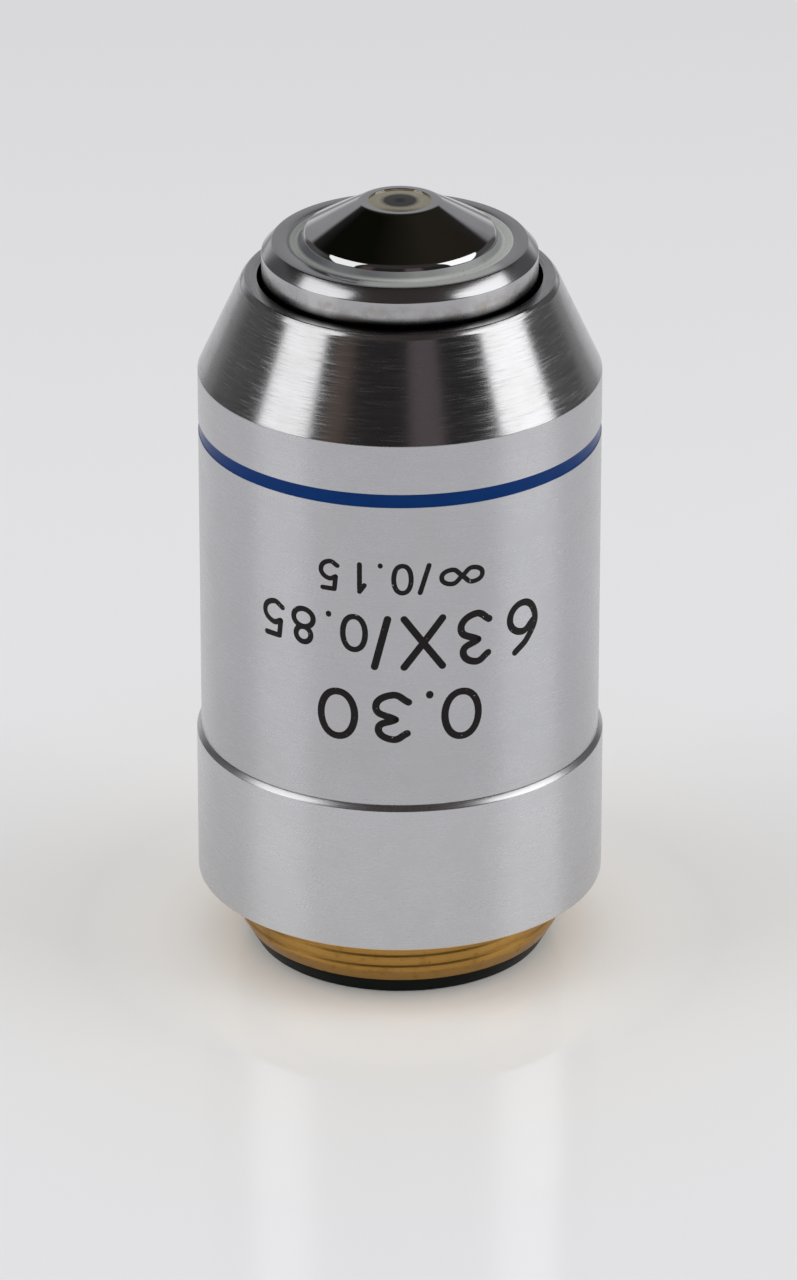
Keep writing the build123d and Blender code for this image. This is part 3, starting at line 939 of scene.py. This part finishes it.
turned_piece("sealant_run", [
    (nose_radius - WALL_OVERLAP, trough_floor, 0),
    (nose_radius - WALL_OVERLAP, trough_floor + WALL_RISE, 0),
    (nose_radius + LIP_OVERLAP, trough_floor + WALL_RISE - FEATHER, FEATHER / 2),
    (sealant_middle, trough_floor + SEALANT_LEVEL, HOLLOW_ROUNDING),
    (ring_mouth, ring_top + SMEAR_THICKNESS, FEATHER),
    (ring_mouth + SMEAR_WIDTH, ring_top, 0),
    (ring_mouth + SMEAR_WIDTH, ring_top - SMEAR_THICKNESS, 0),
    (ring_mouth - LIP_OVERLAP, ring_top - 0.14 * MM, 0),
    (ring_mouth - LIP_OVERLAP, trough_floor, 0),
], "nose", "sealant", "sealing_bead")

# %% [markdown]
# The front lens is a lens-shaped plug, all but flat in front. It falls a little towards its
# edge, enough to keep the pale room behind the objective out of its near side. A thin ring of
# cement closes the joint to the metal.

# %% Set the front lens
LENS_RISE = 0.02 * MM
LENS_FALL = 0.065 * MM
LENS_BODY = 0.50 * MM
FLAT_SHARE = 0.55
FLAT_ROUNDING = 0.9 * MM
CEMENT_RING = 0.09 * MM
CEMENT_STEP = 0.02 * MM
CEMENT_DEPTH = 0.12 * MM
CEMENT_ROUNDING = 0.03 * MM
lens_crown = lens_face + LENS_RISE
lens_edge = lens_crown - LENS_FALL
cement_inner = lens_radius - CEMENT_RING * 0.4
cement_outer = lens_radius + CEMENT_RING

turned_piece("front_lens_set", [
    (0, lens_crown, 0),
    (lens_radius * FLAT_SHARE, lens_crown, FLAT_ROUNDING),
    (lens_radius, lens_edge, 0),
    (lens_radius, lens_crown - LENS_BODY, 0),
    (0, lens_crown - LENS_BODY, 0),
], "nose", "front_lens", "front_lens", closed=False)

turned_piece("lens_cement", [
    (cement_inner, lens_edge - CEMENT_STEP, 0),
    (lens_radius, lens_edge + CEMENT_STEP, CEMENT_ROUNDING),
    (cement_outer, nose_tip - CEMENT_STEP, CEMENT_ROUNDING),
    (cement_outer, nose_tip - CEMENT_DEPTH, 0),
    (cement_inner, nose_tip - CEMENT_DEPTH, 0),
], "nose", "cement", None)

# %% [markdown]
# The numbers are engraved with a ball-nosed cutter and filled with black, so every stroke has
# one width and round ends. Each digit is a few strokes in a unit box: a list of points, joined
# by smooth curves, by straight runs, or into a closed loop. The numbers are general ones:
# magnification, aperture, cover glass and working distance. They read right way up when the
# objective hangs nose down in its microscope, so on this picture they stand on their heads.

# %% Draw the digits as strokes
DIGITS = {
    "0": [("loop", [(0.5, 0), (1, 0.5), (0.5, 1), (0, 0.5)])],
    "1": [("straight", [(0.1, 0.76), (0.7, 1), (0.7, 0)])],
    "3": [("smooth", [(0.04, 0.86), (0.48, 1), (0.92, 0.76), (0.40, 0.55)]),
          ("smooth", [(0.40, 0.55), (1, 0.29), (0.48, 0), (0, 0.16)])],
    "5": [("straight", [(0.90, 1), (0.18, 1), (0.10, 0.54)]),
          ("smooth", [(0.10, 0.54), (0.52, 0.63), (1, 0.32), (0.48, 0), (0, 0.13)])],
    "6": [("smooth", [(0.78, 1), (0.30, 0.76), (0.02, 0.32), (0.50, 0), (0.98, 0.31),
                      (0.54, 0.60), (0.08, 0.42)])],
    "8": [("loop", [(0.5, 0.54), (0.88, 0.77), (0.5, 1), (0.12, 0.77)]),
          ("loop", [(0.5, 0), (1, 0.27), (0.5, 0.54), (0, 0.27)])],
    "X": [("straight", [(0, 0), (1, 1)]), ("straight", [(0, 1), (1, 0)])],
    "/": [("straight", [(0, 0), (1, 1)])],
    ".": [("straight", [(0.5, 0), (0.5, 0.02)])],
    "infinity": [("loop", [(0, 0.5), (0.25, 0.76), (0.5, 0.5), (0.75, 0.24), (1, 0.5),
                           (0.75, 0.76), (0.5, 0.5), (0.25, 0.24)])],
}

# %% [markdown]
# A stroke is a curve with a round bevel, made a mesh, with a ball at each open end. Still flat,
# it is laid on the sleeve: across becomes an angle round the axis, up becomes height, and the
# bevel's thickness shrinks to a film a few thousandths of a millimetre proud.

# %% Lay strokes on the sleeve
INK_PROUD = 0.002 * MM
INK_FLATTEN = 0.03
STROKE_STEPS = 10


def divide_runs(points, parts):
    """The same straight runs with more points, so that they can follow a curved wall."""
    divided = [points[0]]
    for (x0, y0), (x1, y1) in zip(points, points[1:]):
        shares = [part / parts for part in range(1, parts + 1)]
        divided += [(x0 + (x1 - x0) * share, y0 + (y1 - y0) * share) for share in shares]
    return divided


def stroke_mesh(kind, points, width):
    """One stroke of the given width as a mesh, flat on the XY plane."""
    curve = bpy.data.curves.new("stroke", "CURVE")
    curve.dimensions = "3D"
    curve.bevel_depth = width / 2
    curve.bevel_resolution = 2
    curve.resolution_u = STROKE_STEPS
    curve.use_fill_caps = True
    line = curve.splines.new("BEZIER")
    line.bezier_points.add(len(points) - 1)
    for knot, (x, y) in zip(line.bezier_points, points):
        knot.co = (x, y, 0)
        knot.handle_left_type = knot.handle_right_type = "VECTOR" if kind == "straight" else "AUTO"
    line.use_cyclic_u = kind == "loop"
    holder = bpy.data.objects.new("stroke", curve)
    show(holder)
    bpy.context.view_layer.update()
    shaped = holder.evaluated_get(bpy.context.evaluated_depsgraph_get())
    data = bpy.data.meshes.new_from_object(shaped)
    bpy.data.objects.remove(holder)
    return data


def engrave(mesh, digit, azimuth, baseline, width, height, stroke):
    """Add one digit to the lettering, upside down round an azimuth in degrees."""
    digit_mesh = bmesh.new()
    inner_width = width - stroke
    inner_height = height - stroke
    for kind, points in DIGITS[digit]:
        placed = [(x * inner_width - inner_width / 2, y * inner_height + stroke / 2)
                  for x, y in points]
        knots = placed if kind == "straight" else placed[:1] + placed[-1:]
        if kind == "straight":
            placed = divide_runs(placed, STROKE_STEPS)
        data = stroke_mesh(kind, placed, stroke)
        digit_mesh.from_mesh(data)
        bpy.data.meshes.remove(data)
        for x, y in [] if kind == "loop" else knots:
            bmesh.ops.create_uvsphere(digit_mesh, u_segments=16, v_segments=8, radius=stroke / 2,
                                      matrix=Matrix.Translation((x, y, 0)))
    for vert in digit_mesh.verts:
        angle = math.radians(azimuth) - vert.co.x / sleeve_radius
        reach = sleeve_radius + INK_PROUD + vert.co.z * INK_FLATTEN
        vert.co = (reach * math.sin(angle), -reach * math.cos(angle), baseline - vert.co.y)
    bmesh.ops.recalc_face_normals(digit_mesh, faces=digit_mesh.faces)
    pour_into(mesh, digit_mesh)


# %% [markdown]
# A row gives its baseline, its stroke, its height and its digits, and a digit its azimuth in
# degrees and its width in millimetres. Magnification and aperture share a baseline.

# %% Engrave the three rows
THICK = 0.46 * MM
THIN = 0.36 * MM
FINE = 0.31 * MM
distance_line = shoulder + 17.49 * MM
power_line = shoulder + 22.54 * MM
cover_line = shoulder + 26.00 * MM

distance_row = (distance_line, THICK, 3.45 * MM, [
    ("0", 17.7, 2.60), (".", 8.4, 0.46), ("3", -2.2, 2.45), ("0", -17.8, 2.60)])
power_row = (power_line, THICK, 3.65 * MM, [
    ("6", 37.0, 2.45), ("3", 21.6, 2.30), ("X", 6.6, 2.80), ("/", -5.3, 1.25)])
aperture_row = (power_line, THIN, 2.55 * MM, [
    ("0", -13.0, 1.75), (".", -20.4, 0.36), ("8", -28.2, 1.70), ("5", -38.2, 1.70)])
cover_row = (cover_line, FINE, 2.10 * MM, [
    ("infinity", 17.7, 2.90), ("/", 6.9, 0.85), ("0", 0.7, 1.36), (".", -5.5, 0.31),
    ("1", -10.9, 0.80), ("5", -20.2, 1.36)])

lettering = bmesh.new()
for baseline, stroke, height, digits in (distance_row, power_row, aperture_row, cover_row):
    for digit, azimuth, width in digits:
        engrave(lettering, digit, azimuth, baseline, width * MM, height, stroke)
finish_piece(lettering, "engraved_numbers", "mount", ["ink"], None)

# %% [markdown]
# The pieces that stay hidden keep their solids and only get a finish. One table says which.

# %% Dress the inner pieces
inner_finishes = {
    "brass": ["stop_collar", "lens_barrel"],
    "steel": ["parfocal_shim", "guide_screw", "centring_screws"],
    "anodised": ["rear_baffle", "front_spacer", "middle_spacer", "rear_spacer", "aperture_stop",
                 "rear_lock_ring"],
    "blackened": ["meniscus_cell", "front_doublet_cell", "centring_cell", "rear_cell"],
    "crown": ["meniscus_lens", "front_doublet_crown", "centring_crown", "rear_crown"],
    "flint": ["front_doublet_flint", "centring_flint", "rear_flint"],
}
for finish, nodes in inner_finishes.items():
    for node in nodes:
        piece = frame["nodes"][node]
        if not piece.material_slots:
            piece.data.materials.append(None)
        for material_slot in piece.material_slots:
            material_slot.material = materials[finish]

# %% [markdown]
# The return spring stands on the mount body and is pressed together by the barrel. A copy of its
# coils takes its place here.

spring = bmesh.new()
spring.from_mesh(frame["nodes"]["return_spring"].data)
spring_piece = finish_piece(spring, "return_spring_coils", "mount", ["steel"],
                            "return_spring")
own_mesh(spring_piece)

# %% [markdown]
# The table is a glossy white panel. It does most of the work on the sleeve: an upright chrome
# wall seen from above mirrors the table in front of it, not the room. Its slight gloss also
# gives the faint upside-down image of the objective. Round the objective the panel carries
# painted light: a warm painted glow for the light that the brass throws back, and closer in a
# paler painted pool that lightens the objective's contact shadow. Behind the objective it is a
# little greyer. Far out it fades away: the camera then sees the room's pale floor, and the metal
# a greyer one.

# %% Lay the table
TABLE_RADIUS = 0.42
TABLE_FADE = 0.10
BOUNCE_REACH = 24 * MM
LIT_POOL_REACH = 15 * MM
BEHIND = 0.11
BEHIND_BLUR = 0.14


def table_panel():
    finish = Finish("table_panel", Specular_IOR_Level=0.35, Roughness=0.08)
    # painted light: a warm glow round the objective, and a pale pool close in that lightens its
    # contact shadow
    bounce_warmth = finish.radius.below(BOUNCE_REACH, BOUNCE_REACH * 1.2)
    lit_pool = finish.radius.below(LIT_POOL_REACH, LIT_POOL_REACH * 0.7)
    far = finish.y.above(BEHIND, BEHIND_BLUR)
    plain = finish.blend(far, (0.735, 0.735, 0.74, 1), (0.68, 0.68, 0.685, 1))
    with_bounce = finish.blend(bounce_warmth, plain, (0.755, 0.735, 0.70, 1))
    finish.colour(lit_pool, with_bounce, (0.92, 0.905, 0.87, 1))
    finish.set("Alpha", finish.radius.below(TABLE_RADIUS - TABLE_FADE * 0.6, TABLE_FADE))
    mesh = bmesh.new()
    bmesh.ops.create_circle(mesh, cap_ends=True, radius=TABLE_RADIUS, segments=96)
    data = bpy.data.meshes.new("table")
    mesh.to_mesh(data)
    mesh.free()
    data.materials.append(finish.material)
    panel = bpy.data.objects.new("table", data)
    show(panel)


table_panel()

# %% [markdown]
# Two tall softboxes stand left and right in front of the objective. They make the two bright
# bands on the cone and the highlights on the ring. Where a band starts and ends on a cone says
# at which angles its softbox stands, so these angles were worked out from the photograph: both
# reach from just above the table to about 50 degrees up, and lean far outwards.

# %% Hang the softboxes
LAMP_DISTANCE = 1.0
LAMP_ELEVATION = math.radians(51.8)
LAMP_FOOT = -1.13
LAMP_LEAN = math.radians(24.2)


def softbox(name, azimuth, width, height, radiance):
    """A tall lamp that faces the objective. Azimuth 0 is the camera's side."""
    turn = math.radians(azimuth)
    level = math.cos(LAMP_ELEVATION)
    away = Vector((math.sin(turn) * level, -math.cos(turn) * level, math.sin(LAMP_ELEVATION)))
    lean = Matrix.Rotation(math.copysign(LAMP_LEAN, -azimuth), 4, "Z")
    facing = away.to_track_quat("Z", "Y").to_matrix().to_4x4() @ lean
    upwards = facing @ Vector((0, 1, 0))
    lamp = bpy.data.lights.new(name, "AREA")
    lamp.shape = "RECTANGLE"
    lamp.size = width
    lamp.size_y = height
    lamp.energy = radiance * math.pi * width * height
    holder = bpy.data.objects.new(name, lamp)
    holder.location = away * LAMP_DISTANCE + upwards * (LAMP_FOOT + height / 2)
    holder.rotation_euler = facing.to_euler()
    holder.visible_camera = False
    show(holder)


softbox("left_softbox", azimuth=-83.6, width=0.67, height=1.16, radiance=1.62)
softbox("right_softbox", azimuth=91.8, width=0.77, height=1.08, radiance=1.90)

# %% [markdown]
# The world stands for the rest of the room, and is painted by direction: azimuth is 0 on the
# camera's side. The camera sees it as the pale backdrop. Mirrors see a room that is dark
# overhead and on the camera's side, with two dim brown curtains there, and pale low down behind
# the objective. That is why the cone's middle and the nose look almost black. Everything else
# gets an even light from it, which keeps the shadows faint. Below, z is a direction's height,
# from 0 at the horizon to 1 overhead, and every above, below or between ends in its blur.

# %% Paint the room
CEILING_DARK = (0.006, 0.006, 0.004, 1)
CEILING_RIGHT = (0.028, 0.024, 0.017, 1)
CEILING_FRONT = (0.060, 0.050, 0.048, 1)
WALL_FRONT = (0.030, 0.028, 0.028, 1)
WALL_BEHIND = (0.115, 0.113, 0.115, 1)
CURTAINS = [
    (6, 26, 5, (0.140, 0.115, 0.120, 1)),
    (-46, -32, 6, (0.120, 0.088, 0.072, 1)),
]
BACKDROP_HIGH = (0.40, 0.40, 0.41, 1)
BACKDROP_LOW = (0.74, 0.74, 0.75, 1)
FLOOR = (0.30, 0.30, 0.30, 1)
EVEN_LIGHT = (0.85, 0.85, 0.86, 1)
SEEN_BACKDROP = (0.72, 0.72, 0.73, 1)


def paint_room():
    world = bpy.data.worlds.new("room")
    world.use_nodes = True
    world.cycles.sampling_method = "NONE"
    bpy.context.scene.world = world
    graph = Graph(world.node_tree)
    x, y, z = graph.split(graph.add("ShaderNodeTexCoord", output=0))
    azimuth = x.math("ARCTAN2", y * -1) * math.degrees(1)
    turned = azimuth.math("ABSOLUTE")
    ceiling = graph.blend(x.above(0.0, 0.5), CEILING_DARK, CEILING_RIGHT)
    ceiling = graph.blend(y.below(-0.25, 0.3), ceiling, CEILING_FRONT)
    behind = turned.above(96, 30) * z.below(0.48, 0.08)
    room = graph.blend(behind, WALL_FRONT, WALL_BEHIND)
    for first, last, blur, colour in CURTAINS:
        room = graph.blend(azimuth.between(first, last, blur), room, colour)
    room = graph.blend(z.below(0.58, 0.16), ceiling, room)
    backdrop = graph.blend(z.below(0.10, 0.12), BACKDROP_HIGH, BACKDROP_LOW)
    aside = (azimuth - 3).math("ABSOLUTE")
    room = graph.blend(aside.above(145, 10) * z.below(0.47, 0.06), room, backdrop)
    room = graph.blend(z.below(-0.02, 0.06), room, FLOOR)
    path = graph.tree.nodes.new("ShaderNodeLightPath")
    mirrored = Wire(graph, path.outputs["Is Glossy Ray"])
    mirrored = mirrored.math("MAXIMUM", Wire(graph, path.outputs["Is Transmission Ray"]))
    mirrored = mirrored * Wire(graph, path.outputs["Diffuse Depth"]).below(0.5, 0.2)
    seen = Wire(graph, path.outputs["Is Camera Ray"])
    colour = graph.blend(mirrored, EVEN_LIGHT, room)
    colour = graph.blend(seen, colour, SEEN_BACKDROP)
    background = graph.tree.nodes["Background"]
    graph.feed(background.inputs["Color"], colour)
    graph.feed(background.inputs["Strength"], 1.0)


paint_room()
